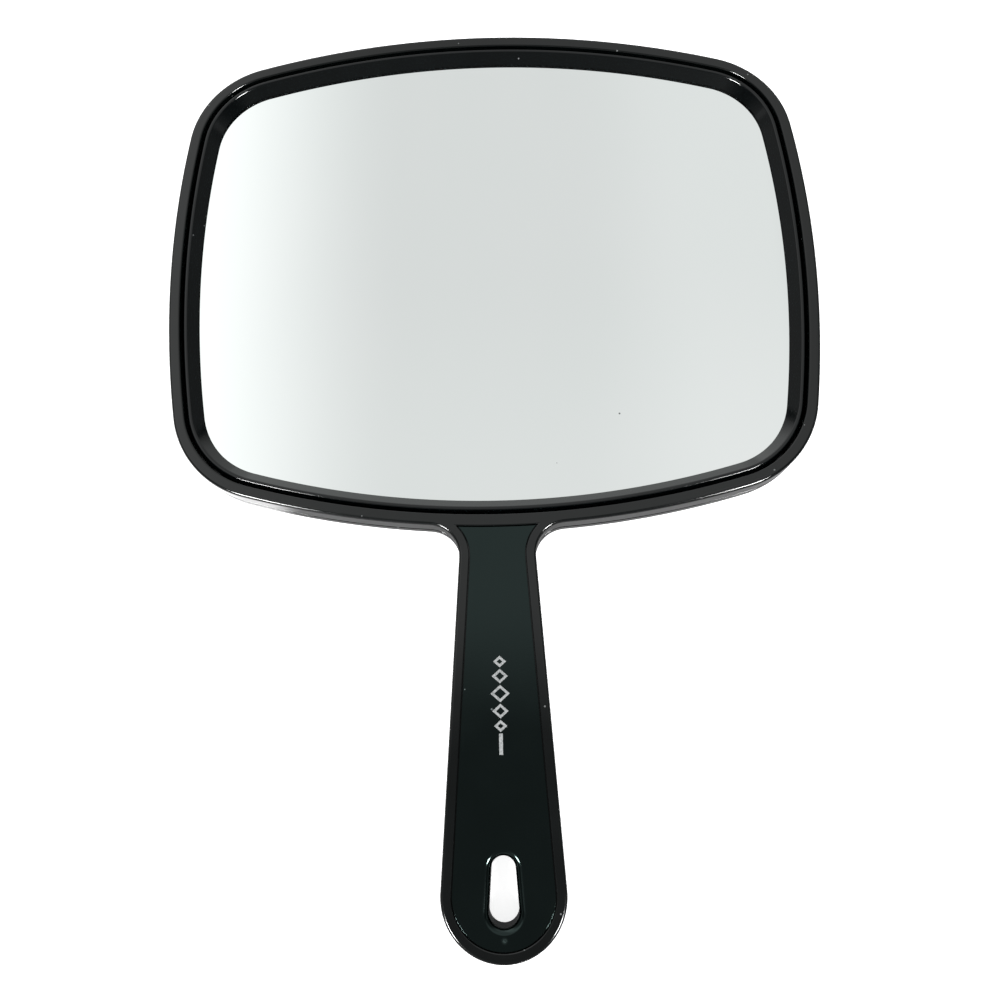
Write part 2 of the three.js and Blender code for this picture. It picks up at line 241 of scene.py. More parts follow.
def neck_fillet_centre():
    """The fillet touches the handle's straight side and the head's lower arc from outside."""
    normal = Vector((math.cos(HANDLE_TILT), math.sin(HANDLE_TILT)))
    upwards = Vector((-normal.y, normal.x))
    foot = END_CENTRE + normal * (HANDLE_END_RADIUS + NECK_FILLET_RADIUS)
    to_foot = foot - CHIN_CENTRE
    middle = -to_foot.dot(upwards)
    reach = HEAD_CROWN_RADIUS + NECK_FILLET_RADIUS
    return foot + upwards * (middle - math.sqrt(middle**2 - to_foot.length_squared + reach**2))


HANDLE_TILT = side_tilt()
FILLET_CENTRE = neck_fillet_centre()


def mirrored(*stretches):
    """Closed outline from the right half's stretches, which run from the axis below to the axis above."""
    half = list(stretches[0])
    for stretch in stretches[1:]:
        meets = (stretch[0] - half[-1]).length < 1e-7
        half += stretch[1:] if meets else stretch
    half[0].x = 0
    half[-1].x = 0
    return half + [Vector((-p.x, p.y)) for p in reversed(half[1:-1])]


def head_upper(inset):
    return (
        arc(CORNER_BOTTOM, HEAD_CORNER_RADIUS - inset, -CROWN_ANGLE, -SIDE_ANGLE, CORNER_STEPS),
        arc(SIDE_CENTRE, HEAD_SIDE_RADIUS - inset, -SIDE_ANGLE, SIDE_ANGLE, SIDE_STEPS),
        arc(CORNER_TOP, HEAD_CORNER_RADIUS - inset, SIDE_ANGLE, CROWN_ANGLE, CORNER_STEPS),
        arc(CROWN_CENTRE, HEAD_CROWN_RADIUS - inset, CROWN_ANGLE, math.pi / 2, CROWN_STEPS),
    )


def head_outline(inset):
    """The head's own closed outline, moved inwards."""
    chin = arc(CHIN_CENTRE, HEAD_CROWN_RADIUS - inset, -math.pi / 2, -CROWN_ANGLE, CROWN_STEPS)
    return mirrored(chin, *head_upper(inset))


def handle_side(inset, fillet_end):
    """The round end, the straight side and the neck fillet, as far as the fillet's end angle."""
    end = arc(END_CENTRE, HANDLE_END_RADIUS - inset, -math.pi / 2, HANDLE_TILT, END_STEPS)
    fillet = arc(FILLET_CENTRE, NECK_FILLET_RADIUS + inset, math.pi + HANDLE_TILT, fillet_end, FILLET_STEPS)
    return end + line(end[-1], fillet[0], STRAIGHT_STEPS) + fillet


def body_outline(inset):
    """The outline of head and handle together, moved inwards."""
    chin_start = angle_from(CHIN_CENTRE, FILLET_CENTRE)
    chin = arc(CHIN_CENTRE, HEAD_CROWN_RADIUS - inset, chin_start, -CROWN_ANGLE, CHIN_STEPS)
    return mirrored(handle_side(inset, angle_from(FILLET_CENTRE, CHIN_CENTRE)), chin, *head_upper(inset))


def panel_outline(offset):
    """The recess in the handle's front, moved inwards: parallel to the border, closed by an arc above."""
    inset = HANDLE_BORDER_WIDTH + offset
    top_radius = HEAD_CROWN_RADIUS + offset
    corner = crossing(FILLET_CENTRE, NECK_FILLET_RADIUS + inset, CHIN_CENTRE, top_radius)
    top = arc(CHIN_CENTRE, top_radius, angle_from(CHIN_CENTRE, corner), -math.pi / 2, FILLET_STEPS)
    return mirrored(handle_side(inset, angle_from(FILLET_CENTRE, corner)), top)


def slot_outline(outset):
    """The hanging slot, wider at its lower end, grown outwards."""
    tilt = math.asin((SLOT_BOTTOM_RADIUS - SLOT_TOP_RADIUS) / (SLOT_TOP_Y - SLOT_BOTTOM_Y))
    bottom = arc(Vector((0, SLOT_BOTTOM_Y)), SLOT_BOTTOM_RADIUS + outset, -math.pi / 2, tilt, CIRCLE_STEPS)
    top = arc(Vector((0, SLOT_TOP_Y)), SLOT_TOP_RADIUS + outset, tilt, math.pi / 2, CIRCLE_STEPS)
    return mirrored(bottom + line(bottom[-1], top[0], STRAIGHT_STEPS) + top)


def circle_at(y, x=0.0):
    """An outline function of circles about a point: its argument is the radius."""
    centre = Vector((x, y))
    return lambda radius: arc(centre, radius, 0, 2 * math.pi, CIRCLE_STEPS)[:-1]


def box_outline(low, high, corner_radius, inset):
    """A rectangle with round corners, moved inwards."""
    radius = corner_radius - inset
    points = []
    for turn, (x, y) in enumerate(((high.x, high.y), (low.x, high.y), (low.x, low.y), (high.x, low.y))):
        out_x = 1 if x == high.x else -1
        out_y = 1 if y == high.y else -1
        centre = Vector((x - out_x * corner_radius, y - out_y * corner_radius))
        points += arc(centre, radius, turn * math.pi / 2, (turn + 1) * math.pi / 2, FILLET_STEPS)
    return points


# ---------------------------------------------------------------- closed meshes from rings

def rounded(*corners):
    """Profile points (inset, z) of a line through corners (inset, z, radius), each corner rounded."""
    points = []
    for i, (inset, z, radius) in enumerate(corners):
        here = Vector((inset, z))
        if radius == 0:
            points.append(here)
            continue
        before = (Vector(corners[i - 1][:2]) - here).normalized()
        after = (Vector(corners[(i + 1) % len(corners)][:2]) - here).normalized()
        turn = math.pi - before.angle(after)
        reach = radius * math.tan(turn / 2)
        centre = here + (before + after).normalized() * radius / math.cos(turn / 2)
        start = here + before * reach - centre
        end = here + after * reach - centre
        steps = max(2, math.ceil(turn / ROUNDING_STEP))
        for k in range(steps + 1):
            share = k / steps
            bent = start * math.sin((1 - share) * turn) + end * math.sin(share * turn)
            points.append(centre + bent / math.sin(turn))
    return points


def ring(bm, outline, z):
    return [bm.verts.new((p.x, p.y, z)) for p in outline]


def bridge(bm, ring_a, ring_b):
    for i in range(len(ring_a)):
        bm.faces.new((ring_a[i - 1], ring_a[i], ring_b[i], ring_b[i - 1]))


def sweep(bm, outline, profile, closed=False):
    """Carries a profile round an outline function. Returns the first and the last ring."""
    rings = [ring(bm, outline(inset), z) for inset, z in profile]
    for ring_a, ring_b in zip(rings, rings[1:]):
        bridge(bm, ring_a, ring_b)
    if closed:
        bridge(bm, rings[-1], rings[0])
    return rings[0], rings[-1]


def cap(bm, *rings):
    """A level face between rings: the first is its border and the others are holes."""
    edges = []
    for loop in rings:
        for i in range(len(loop)):
            pair = (loop[i - 1], loop[i])
            edges.append(bm.edges.get(pair) or bm.edges.new(pair))
    bmesh.ops.triangle_fill(bm, use_beauty=True, edges=edges, normal=(0, 0, 1))


def to_object(bm, name):
    """Turns a closed bmesh into an object with smooth faces and sharp corners."""
    bmesh.ops.recalc_face_normals(bm, faces=bm.faces)
    mesh = bpy.data.meshes.new(name)
    bm.to_mesh(mesh)
    bm.free()
    piece = bpy.data.objects.new(name, mesh)
    bpy.context.scene.collection.objects.link(piece)
    shade(piece)
    return piece


def shade(piece):
    bm = bmesh.new()
    bm.from_mesh(piece.data)
    for face in bm.faces:
        face.smooth = True
    for edge in bm.edges:
        edge.smooth = edge.calc_face_angle(0) < SHARP_ANGLE
    bm.to_mesh(piece.data)
    bm.free()


def even_normals(piece):
    """Level faces stay level right up to their rounded edges."""
    modifier = piece.modifiers.new("even_normals", "WEIGHTED_NORMAL")
    modifier.keep_sharp = True
    modifier.weight = LEVEL_FACE_WEIGHT


def join_solids(piece, other):
    """Unites another closed piece with this one and removes it."""
    modifier = piece.modifiers.new("join", "BOOLEAN")
    modifier.operation = "UNION"
    modifier.solver = "EXACT"
    modifier.object = other
    depsgraph = bpy.context.evaluated_depsgraph_get()
    joined = bpy.data.meshes.new_from_object(piece.evaluated_get(depsgraph), depsgraph=depsgraph)
    piece.modifiers.remove(modifier)
    piece.data = joined
    bpy.data.objects.remove(other)
    shade(piece)


# ---------------------------------------------------------------- moulded pieces

def front_frame():
    """Rim round the head, border round the handle and the bar between them."""
    bm = bmesh.new()
    top_outer, step_outer = sweep(bm, body_outline, rounded(
        (FRONT_EDGE_RADIUS + LEVEL_MARGIN, FRONT_Z, 0),
        (0, FRONT_Z, FRONT_EDGE_RADIUS),
        (0, SEAM_Z + SEAM_GAP, SEAM_EDGE_RADIUS),
        (SEAM_GAP_DEPTH, SEAM_Z + SEAM_GAP, 0),
        (SEAM_GAP_DEPTH, SEAM_Z, 0),
        (SKIRT_THICKNESS, SEAM_Z, 0),
        (SKIRT_THICKNESS, FRAME_STEP_Z, 0),
    ))
    step_head, top_head = sweep(bm, head_outline, rounded(
        (RIM_WIDTH, FRAME_STEP_Z, 0),
        (RIM_WIDTH, FRONT_Z, RIM_INNER_RADIUS),
        (RIM_WIDTH - RIM_INNER_RADIUS - LEVEL_MARGIN, FRONT_Z, 0),
    ))
    step_well, top_well = sweep(bm, panel_outline, rounded(
        (HANDLE_LEDGE_WIDTH, FRAME_STEP_Z, 0),
        (HANDLE_LEDGE_WIDTH, INSERT_BOTTOM_Z, 0),
        (0, INSERT_BOTTOM_Z, 0),
        (0, FRONT_Z, BORDER_INNER_RADIUS),
        (-BORDER_INNER_RADIUS - LEVEL_MARGIN, FRONT_Z, 0),
    ))
    cap(bm, top_outer, top_head, top_well)
    cap(bm, step_outer, step_head, step_well)
    return to_object(bm, "front_frame_moulding")


def rib_outline(y):
    """Footprint of a cross rib, whose ends stay clear of the insert's ledge."""
    inset = HANDLE_BORDER_WIDTH + HANDLE_LEDGE_WIDTH + RIB_CLEARANCE
    across = (HANDLE_END_RADIUS - inset) / math.cos(HANDLE_TILT)
    half = [
        Vector((across - (edge_y - END_Y) * math.tan(HANDLE_TILT), edge_y))
        for edge_y in (y - RIB_THICKNESS / 2, y + RIB_THICKNESS / 2)
    ]
    return half + [Vector((-p.x, p.y)) for p in reversed(half)]


def neck_wall_outline():
    """Footprint of the wall between the mirror's chamber and the handle."""
    sides = []
    for inset in (NECK_WALL_INSET, NECK_WALL_INSET + NECK_WALL_THICKNESS):
        radius = HEAD_CROWN_RADIUS - inset
        turn = math.asin(NECK_WALL_HALF_WIDTH / radius)
        sides.append(arc(CHIN_CENTRE, radius, -math.pi / 2 - turn, -math.pi / 2 + turn, FILLET_STEPS))
    return sides[0] + sides[1][::-1]


def boss(bm, y):
    """Socket for one of the insert's pins, standing on the shell's floor."""
    foot, bore = sweep(bm, circle_at(y), rounded(
        (BOSS_RADIUS, FLOOR_Z, 0),
        (BOSS_RADIUS, BOSS_TOP_Z, PIN_TIP),
        (BOSS_BORE_RADIUS, BOSS_TOP_Z, PIN_TIP),
        (BOSS_BORE_RADIUS, BOSS_BORE_BOTTOM_Z, 0),
    ))
    cap(bm, bore)
    return foot


def back_shell():
    """Closed back with its low wall, the tongue that enters the front frame, and what stands inside."""
    bm = bmesh.new()
    tongue_inset = SKIRT_THICKNESS + TONGUE_GAP
    back, floor = sweep(bm, body_outline, rounded(
        (BACK_EDGE_RADIUS + LEVEL_MARGIN, 0, 0),
        (0, 0, BACK_EDGE_RADIUS),
        (0, SEAM_Z, SEAM_EDGE_RADIUS),
        (tongue_inset, SEAM_Z, 0),
        (tongue_inset, TONGUE_TOP_Z, PIN_TIP),
        (tongue_inset + TONGUE_THICKNESS, TONGUE_TOP_Z, PIN_TIP),
        (tongue_inset + TONGUE_THICKNESS, FLOOR_Z, 0),
    ))
    slot_back, collar = sweep(bm, slot_outline, rounded(
        (SLOT_BACK_RADIUS + LEVEL_MARGIN, 0, 0),
        (0, 0, SLOT_BACK_RADIUS),
        (0, COLLAR_TOP_Z, 0),
        (COLLAR_THICKNESS, COLLAR_TOP_Z, PIN_TIP),
        (COLLAR_THICKNESS, FLOOR_Z, 0),
    ))
    feet = [collar, boss(bm, PIN_YS[0]), boss(bm, PIN_YS[1])]
    rib_top = INSERT_BOTTOM_Z - RIB_CLEARANCE
    for y in RIB_YS:
        outline = rib_outline(y)
        foot, top = ring(bm, outline, FLOOR_Z), ring(bm, outline, rib_top)
        bridge(bm, foot, top)
        cap(bm, top)
        feet.append(foot)
    wall = neck_wall_outline()
    foot, top = ring(bm, wall, FLOOR_Z), ring(bm, wall, TONGUE_TOP_Z)
    bridge(bm, foot, top)
    cap(bm, top)
    feet.append(foot)
    cap(bm, back, slot_back)
    cap(bm, floor, *feet)
    return to_object(bm, "back_shell_moulding")


def handle_insert():
    """Front panel of the handle, with the slot's rounded lip, a gate mark and two pins behind."""
    bm = bmesh.new()
    flange_bottom = INSERT_TOP_Z - INSERT_FLANGE_HEIGHT
    bottom, top = sweep(bm, panel_outline, rounded(
        (INSERT_GAP, INSERT_BOTTOM_Z, 0),
        (INSERT_GAP, flange_bottom, 0),
        (INSERT_SHOWN_GAP, flange_bottom, 0),
        (INSERT_SHOWN_GAP, INSERT_TOP_Z, INSERT_EDGE_RADIUS),
        (INSERT_SHOWN_GAP + INSERT_EDGE_RADIUS + LEVEL_MARGIN, INSERT_TOP_Z, 0),
    ))
    lip, slot_bottom = sweep(bm, slot_outline, rounded(
        (SLOT_LIP_RADIUS + LEVEL_MARGIN, INSERT_TOP_Z, 0),
        (0, INSERT_TOP_Z, SLOT_LIP_RADIUS),
        (0, INSERT_BOTTOM_Z, 0),
    ))
    dome = [i / GATE_MARK_ROUNDS for i in range(GATE_MARK_ROUNDS)]
    mark, mark_middle = sweep(bm, circle_at(GATE_MARK_Y), [
        (GATE_MARK_RADIUS * (1 - share), INSERT_TOP_Z + GATE_MARK_HEIGHT * math.sin(share * math.pi / 2) ** 2)
        for share in dome
    ])
    cap(bm, mark_middle)
    pin_feet = []
    for y in PIN_YS:
        foot, tip = sweep(bm, circle_at(y), rounded(
            (PIN_RADIUS, INSERT_BOTTOM_Z, 0),
            (PIN_RADIUS, PIN_BOTTOM_Z, PIN_TIP),
            (PIN_RADIUS / 2, PIN_BOTTOM_Z, 0),
        ))
        cap(bm, tip)
        pin_feet.append(foot)
    cap(bm, top, lip, mark)
    cap(bm, bottom, slot_bottom, *pin_feet)
    return to_object(bm, "handle_insert_moulding")


def hook_places():
    """Arc centre, arc radius and direction of each snap hook on the head's outline."""
    lean = math.asin(HOOK_OFFSET_X / HEAD_CROWN_RADIUS)
    places = [(CROWN_CENTRE, HEAD_CROWN_RADIUS, math.pi / 2 + turn) for turn in (-lean, 0, lean)]
    places += [(CHIN_CENTRE, HEAD_CROWN_RADIUS, turn - math.pi / 2) for turn in (-lean, 0, lean)]
    places.append((SIDE_CENTRE, HEAD_SIDE_RADIUS, 0))
    places.append((Vector((-SIDE_CENTRE.x, SIDE_CENTRE.y)), HEAD_SIDE_RADIUS, math.pi))
    return places


def snap_hooks():
    """The hooks that grip under the rim, each a bar of one section."""
    barb_top = HOOK_BOTTOM_Z + HOOK_BARB_HEIGHT
    root_inset = RING_FOOT_INSET + HOOK_LEAD / 3
    back_inset = RING_FOOT_INSET + HOOK_THICKNESS
    root_top = RING_BOTTOM_Z + HOOK_LEAD
    section = (
        (root_inset, root_top),
        (root_inset, barb_top),
        (HOOK_BARB_INSET, barb_top),
        (HOOK_BARB_INSET, barb_top - HOOK_LEAD),
        (RING_FOOT_INSET, HOOK_BOTTOM_Z),
        (back_inset, HOOK_BOTTOM_Z),
        (back_inset, root_top),
    )
    bm = bmesh.new()
    for centre, radius, angle in hook_places():
        along = Vector((-math.sin(angle), math.cos(angle)))
        ends = []
        for side in (-HOOK_LENGTH / 2, HOOK_LENGTH / 2):
            end = []
            for inset, z in section:
                p = on_circle(centre, radius - inset, angle) + along * side
                end.append(bm.verts.new((p.x, p.y, z)))
            ends.append(end)
        bridge(bm, *ends)
        bm.faces.new(ends[0])
        bm.faces.new(ends[1])
    return to_object(bm, "snap_hooks")


def bezel_ring():
    """Ring that holds the glass: foot, outer wall, land beside the groove and slope down to the window."""
    bm = bmesh.new()
    lip_top = RING_BOTTOM_Z + RING_LIP_THICKNESS
    sweep(bm, head_outline, rounded(
        (RING_FOOT_INSET, RING_BOTTOM_Z, 0),
        (RING_FOOT_INSET, RING_FOOT_TOP_Z - RING_FOOT_DROP, 0),
        (RING_BODY_INSET, RING_FOOT_TOP_Z + RING_FOOT_DROP, 0),
        (RING_BODY_INSET, RING_TOP_Z, RING_OUTER_RADIUS),
        (RING_LAND_INSET, RING_TOP_Z, RING_INNER_RADIUS),
        (WINDOW_INSET, lip_top, 0),
        (WINDOW_INSET - RING_LIP_UNDERCUT, RING_BOTTOM_Z, 0),
    ), closed=True)
    piece = to_object(bm, "bezel_ring_moulding")
    join_solids(piece, snap_hooks())
    return piece


def mirror_pane():
    """Glass pane with a small ground chamfer on both edges."""
    bm = bmesh.new()
    bottom, top = sweep(bm, head_outline, rounded(
        (GLASS_INSET + GLASS_CHAMFER, GLASS_BOTTOM_Z, 0),
        (GLASS_INSET, GLASS_BOTTOM_Z + GLASS_CHAMFER, 0),
        (GLASS_INSET, GLASS_TOP_Z - GLASS_CHAMFER, 0),
        (GLASS_INSET + GLASS_CHAMFER, GLASS_TOP_Z, 0),
    ))
    cap(bm, bottom)
    cap(bm, top)
    return to_object(bm, "mirror_pane")


def foam_block(node):
    """A foam pad pressed flat between the shell and the board, its sides rounded by the squeeze."""
    low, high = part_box(node)
    bm = bmesh.new()
    bottom, top = sweep(bm, lambda inset: box_outline(low, high, PAD_CORNER_RADIUS, inset), rounded(
        (PAD_EDGE_RADIUS + LEVEL_MARGIN, low.z, 0),
        (0, low.z, PAD_EDGE_RADIUS),
        (0, high.z, PAD_EDGE_RADIUS),
        (PAD_EDGE_RADIUS + LEVEL_MARGIN, high.z, 0),
    ))
    cap(bm, bottom)
    cap(bm, top)
    return to_object(bm, node.replace("pad", "block"))


def lozenge(y, half_width, half_length):
    return [
        Vector((half_width, y)),
        Vector((0, y + half_length)),
        Vector((-half_width, y)),
        Vector((0, y - half_length)),
    ]


def ornament():
    """Generic printed ornament: open lozenges, the largest in the middle, over a short bar."""
    bm = bmesh.new()
    low, high = INSERT_TOP_Z - INK_THICKNESS, INSERT_TOP_Z + INK_THICKNESS
    y = ORNAMENT_TOP_Y
    for i in range(ORNAMENT_COUNT):
        size = 1 - ORNAMENT_TAPER * abs(i - ORNAMENT_COUNT // 2)
        half_width, half_length = ORNAMENT_HALF_WIDTH * size, ORNAMENT_HALF_LENGTH * size
        y -= half_length
        inner = 1 - ORNAMENT_STROKE / half_width * math.sqrt(2)
        outlines = [(half_width, half_length), (half_width * inner, half_length * inner)]
        rings = [ring(bm, lozenge(y, *outlines[j]), z) for j, z in ((0, low), (0, high), (1, high), (1, low))]
        for j in range(4):
            bridge(bm, rings[j - 1], rings[j])
        y -= half_length + ORNAMENT_GAP
    bar = [
        Vector((sign_x * ORNAMENT_BAR_HALF_WIDTH, y - ORNAMENT_BAR_LENGTH * end))
        for sign_x, end in ((1, 0), (-1, 0), (-1, 1), (1, 1))
    ]
    bottom, top = ring(bm, bar, low), ring(bm, bar, high)
    bridge(bm, bottom, top)
    cap(bm, bottom)
    cap(bm, top)
    return to_object(bm, "handle_ornament")


# ---------------------------------------------------------------- materials

CASING_BLACK = (0.0014, 0.0022, 0.0022)
BEZEL_BLACK = (0.0012, 0.002, 0.0022)
INSERT_BLACK = (0.0008, 0.0014, 0.0014)
INSERT_SHEEN = (0.71, 1, 0.96)
DUST_COLOUR = (0.16, 0.17, 0.17)
GLASS_DIRT_COLOUR = (0.25, 0.26, 0.26)
SKIN_HEIGHT = 0.00001
FIBRE_HEIGHT = 0.00008
FOAM_CELL_DEPTH = 0.0002
GATE_MARK_HAZE = 0.3


def feed(tree, socket, value):
    """Links a socket to another node's output, or sets its own value."""
    if isinstance(value, bpy.types.NodeSocket):
        tree.links.new(value, socket)
    else:
        socket.default_value = value


def add(tree, kind, inputs=None, **settings):
    """Adds a shader node, sets its properties and feeds its inputs."""
    node = tree.nodes.new("ShaderNode" + kind)
    for key, value in settings.items():
        setattr(node, key, value)
    for key, value in (inputs or {}).items():
        feed(tree, node.inputs[key], value)
    return node


def math_node(tree, operation, *values):
    return add(tree, "Math", dict(enumerate(values)), operation=operation).outputs[0]


def scaled(tree, value, low, high, to_low, to_high, smooth=False):
    """Maps a value from one span to another, kept inside the second."""
    kind = "SMOOTHSTEP" if smooth else "LINEAR"
    names = ("Value", "From Min", "From Max", "To Min", "To Max")
    return add(tree, "MapRange", dict(zip(names, (value, low, high, to_low, to_high))),
               interpolation_type=kind).outputs["Result"]


def blended(tree, share, colour_a, colour_b):
    """Mixes two colours, given as plain values or as another node's output."""
    node = add(tree, "Mix", {0: share}, data_type="RGBA")
    for i, colour in ((6, colour_a), (7, colour_b)):
        feed(tree, node.inputs[i], (*colour, 1) if isinstance(colour, tuple) else colour)
    return node.outputs[2]


def noise(tree, place, scale, detail=2.0, stretch=(1, 1, 1)):
    """Noise with features of about 1 / scale metres, drawn out along axes with a small stretch value."""
    if stretch != (1, 1, 1):
        place = add(tree, "Mapping", {"Vector": place, "Scale": stretch}).outputs[0]
    return add(tree, "TexNoise", {"Vector": place, "Scale": scale, "Detail": detail}).outputs["Fac"]


def specks(tree, place, scale, size, share):
    """Sparse round specks, 1 on a speck and 0 elsewhere: size is in cells, share tells how many have one."""
    cells = add(tree, "TexVoronoi", {"Vector": place, "Scale": scale})
    near = math_node(tree, "LESS_THAN", cells.outputs["Distance"], size)
    picked = add(tree, "SeparateColor", {"Color": cells.outputs["Color"]}).outputs[0]
    return math_node(tree, "MULTIPLY", near, math_node(tree, "LESS_THAN", picked, share))


def material(name):
    """A new material: its tree, its Principled shader and its object coordinates."""
    made = bpy.data.materials.new(name)
    made.use_nodes = True
    tree = made.node_tree
    shader = tree.nodes["Principled BSDF"]
    place = add(tree, "TexCoord").outputs["Object"]
    return made, tree, shader, place


def bump(tree, shader, height, distance, strength):
    node = add(tree, "Bump", {"Height": height, "Distance": distance, "Strength": strength})
    tree.links.new(node.outputs[0], shader.inputs["Normal"])


def moulded_plastic(name, colour, gloss_span, dust_share, ior, tint=(1, 1, 1), gate_mark=False):
    """Glossy black moulded plastic: uneven gloss, a faint skin, hairline scuffs and a few dust specks."""
    made, tree, shader, place = material(name)
    clouds = noise(tree, place, 55, 3)
    skin = noise(tree, place, 1500, 2)
    scuffs = noise(tree, place, 900, 2, (1, 0.06, 1))
    dust = specks(tree, place, 420, 0.11, dust_share)
    tone = blended(tree, scaled(tree, clouds, 0.35, 0.7, 0, 1), tuple(0.75 * c for c in colour), colour)
    tone = blended(tree, math_node(tree, "MULTIPLY", dust, 0.5), tone, DUST_COLOUR)
    tree.links.new(tone, shader.inputs["Base Color"])
    gloss = scaled(tree, clouds, 0.3, 0.7, *gloss_span)
    gloss = math_node(tree, "ADD", gloss, scaled(tree, scuffs, 0.62, 0.8, 0, 0.03))
    gloss = math_node(tree, "ADD", gloss, math_node(tree, "MULTIPLY", dust, 0.4))
    if gate_mark:
        gloss = math_node(tree, "ADD", gloss, gate_mark_haze(tree, place))
    tree.links.new(gloss, shader.inputs["Roughness"])
    shader.inputs["IOR"].default_value = ior
    shader.inputs["Specular Tint"].default_value = (*tint, 1)
    bump(tree, shader, skin, SKIN_HEIGHT, 0.25)
    return made


def gate_mark_haze(tree, place):
    """Extra roughness on the small mark that the mould's gate leaves, patchy at its edge."""
    away = add(tree, "VectorMath", {0: place, 1: (0, GATE_MARK_Y, INSERT_TOP_Z)}, operation="DISTANCE")
    core, fringe = 0.4 * GATE_MARK_RADIUS, 2.0 * GATE_MARK_RADIUS
    inside = scaled(tree, away.outputs["Value"], core, fringe, GATE_MARK_HAZE, 0, True)
    patches = scaled(tree, noise(tree, place, 2600, 3), 0.35, 0.65, 0.5, 1)
    return math_node(tree, "MULTIPLY", inside, patches)


def silvered_glass():
    """Silvered glass: a clear reflection with a faint green cast, light smears and a few tiny specks."""
    made, tree, shader, place = material("silvered_glass")
    smears = noise(tree, place, 22, 4, (1, 0.5, 1))
    dirt = specks(tree, place, 60, 0.018, 0.35)
    clean = blended(tree, scaled(tree, smears, 0.35, 0.7, 0, 1), (0.885, 0.915, 0.905), (0.9, 0.922, 0.915))
    tree.links.new(blended(tree, dirt, clean, GLASS_DIRT_COLOUR), shader.inputs["Base Color"])
    shader.inputs["Metallic"].default_value = 1
    tree.links.new(scaled(tree, smears, 0.5, 0.8, 0.008, 0.03), shader.inputs["Roughness"])
    return made


def silver_backing():
    """Silver and paint layer behind the glass, slightly mottled."""
    made, tree, shader, place = material("silver_backing")
    mottle = noise(tree, place, 300, 4)
    tree.links.new(blended(tree, mottle, (0.62, 0.63, 0.62), (0.72, 0.73, 0.72)), shader.inputs["Base Color"])
    tree.links.new(scaled(tree, mottle, 0.3, 0.7, 0.15, 0.3), shader.inputs["Roughness"])
    shader.inputs["Metallic"].default_value = 1
    return made


def pressed_board():
    """Grey-brown board of pressed paper fibre."""
    made, tree, shader, place = material("pressed_board")
    fibres = noise(tree, place, 1400, 5, (0.25, 1, 1))
    flecks = specks(tree, place, 700, 0.16, 0.3)
    tone = blended(tree, scaled(tree, fibres, 0.3, 0.7, 0, 1), (0.2, 0.175, 0.14), (0.33, 0.29, 0.235))
    tone = blended(tree, math_node(tree, "MULTIPLY", flecks, 0.6), tone, (0.1, 0.085, 0.07))
    tree.links.new(tone, shader.inputs["Base Color"])
    shader.inputs["Roughness"].default_value = 0.92
    bump(tree, shader, fibres, FIBRE_HEIGHT, 0.6)
    return made


def open_foam():
    """Pale foam with small open cells, their hollows coloured darker as painted shade."""
    made, tree, shader, place = material("open_foam")
    cells = add(tree, "TexVoronoi", {"Vector": place, "Scale": 2200}, feature="DISTANCE_TO_EDGE")
    # One mask raises the cell walls in the bump and paints shade into the hollows between them: walls pale,
    # hollows darker as painted shade.
    walls = scaled(tree, cells.outputs["Distance"], 0.02, 0.25, 1, 0)
    tree.links.new(blended(tree, walls, (0.42, 0.41, 0.37), (0.72, 0.71, 0.66)), shader.inputs["Base Color"])
    shader.inputs["Roughness"].default_value = 0.97
    bump(tree, shader, walls, FOAM_CELL_DEPTH, 0.8)
    return made


def print_ink():
    """Light grey printing ink, a little thin in places."""
    made, tree, shader, place = material("print_ink")
    cover = noise(tree, place, 2400, 3)
    tone = blended(tree, scaled(tree, cover, 0.35, 0.6, 0, 1), (0.17, 0.18, 0.18), (0.3, 0.31, 0.31))
    tree.links.new(tone, shader.inputs["Base Color"])
    tree.links.new(scaled(tree, cover, 0.3, 0.7, 0.35, 0.5), shader.inputs["Roughness"])
    return made


# ---------------------------------------------------------------- studio

FLOOR_RADIUS = 6.0
FLOOR_DROP = 0.0002
FLOOR_GREY = 0.82
FLOOR_GLOW = 0.75
REFLECTED_FLOOR_GREY = 0.36
WINDOW_START_X = -0.058
WINDOW_FULL_X = -0.068
WINDOW_GLOW = 1.6
DOME_RADIUS = 2.0
DOME_DEPTH = 0.2
LOWEST_HEIGHT = 0.05
CEILING_BRIGHTNESS = 0.765
LOW_WALL_BRIGHTNESS = 0.25
SOFTBOX_DISTANCE = 1.85
SOFTBOX_POWER = 16.0
GLINT_DISTANCE = 1.75
GLINT_POWER = 42.0
LIGHT_SIZE = 0.34
LEFT_LIGHT = Vector((-0.47, -0.46, 0.75))
RIGHT_LIGHT = Vector((0.5, -0.45, 0.74))


def floor_disc(name, z, grey, glow):
    bm = bmesh.new()
    bm.faces.new(ring(bm, circle_at(0)(FLOOR_RADIUS), z))
    disc = to_object(bm, name)
    made, _, shader, _ = material(name)
    shader.inputs["Base Color"].default_value = (grey, grey, grey, 1)
    shader.inputs["Roughness"].default_value = 1
    shader.inputs["Specular IOR Level"].default_value = 0
    shader.inputs["Emission Color"].default_value = (1, 1, 1, 1)
    shader.inputs["Emission Strength"].default_value = glow
    disc.data.materials.append(made)
    return disc


def pale_floor():
    """A white floor, and a greyer one that glossy walls reflect in its place, with a bright left side."""
    white = floor_disc("floor", -FLOOR_DROP, FLOOR_GREY, FLOOR_GLOW)
    white.visible_glossy = False
    grey = floor_disc("reflected_floor", -FLOOR_DROP / 2, REFLECTED_FLOOR_GREY, 0)
    tree = grey.data.materials[0].node_tree
    place = add(tree, "TexCoord").outputs["Object"]
    across = add(tree, "SeparateXYZ", {"Vector": place}).outputs[0]
    window = scaled(tree, across, WINDOW_START_X, WINDOW_FULL_X, 0, WINDOW_GLOW, True)
    tree.links.new(window, tree.nodes["Principled BSDF"].inputs["Emission Strength"])
    grey.visible_camera = False
    grey.visible_diffuse = False
    grey.visible_shadow = False


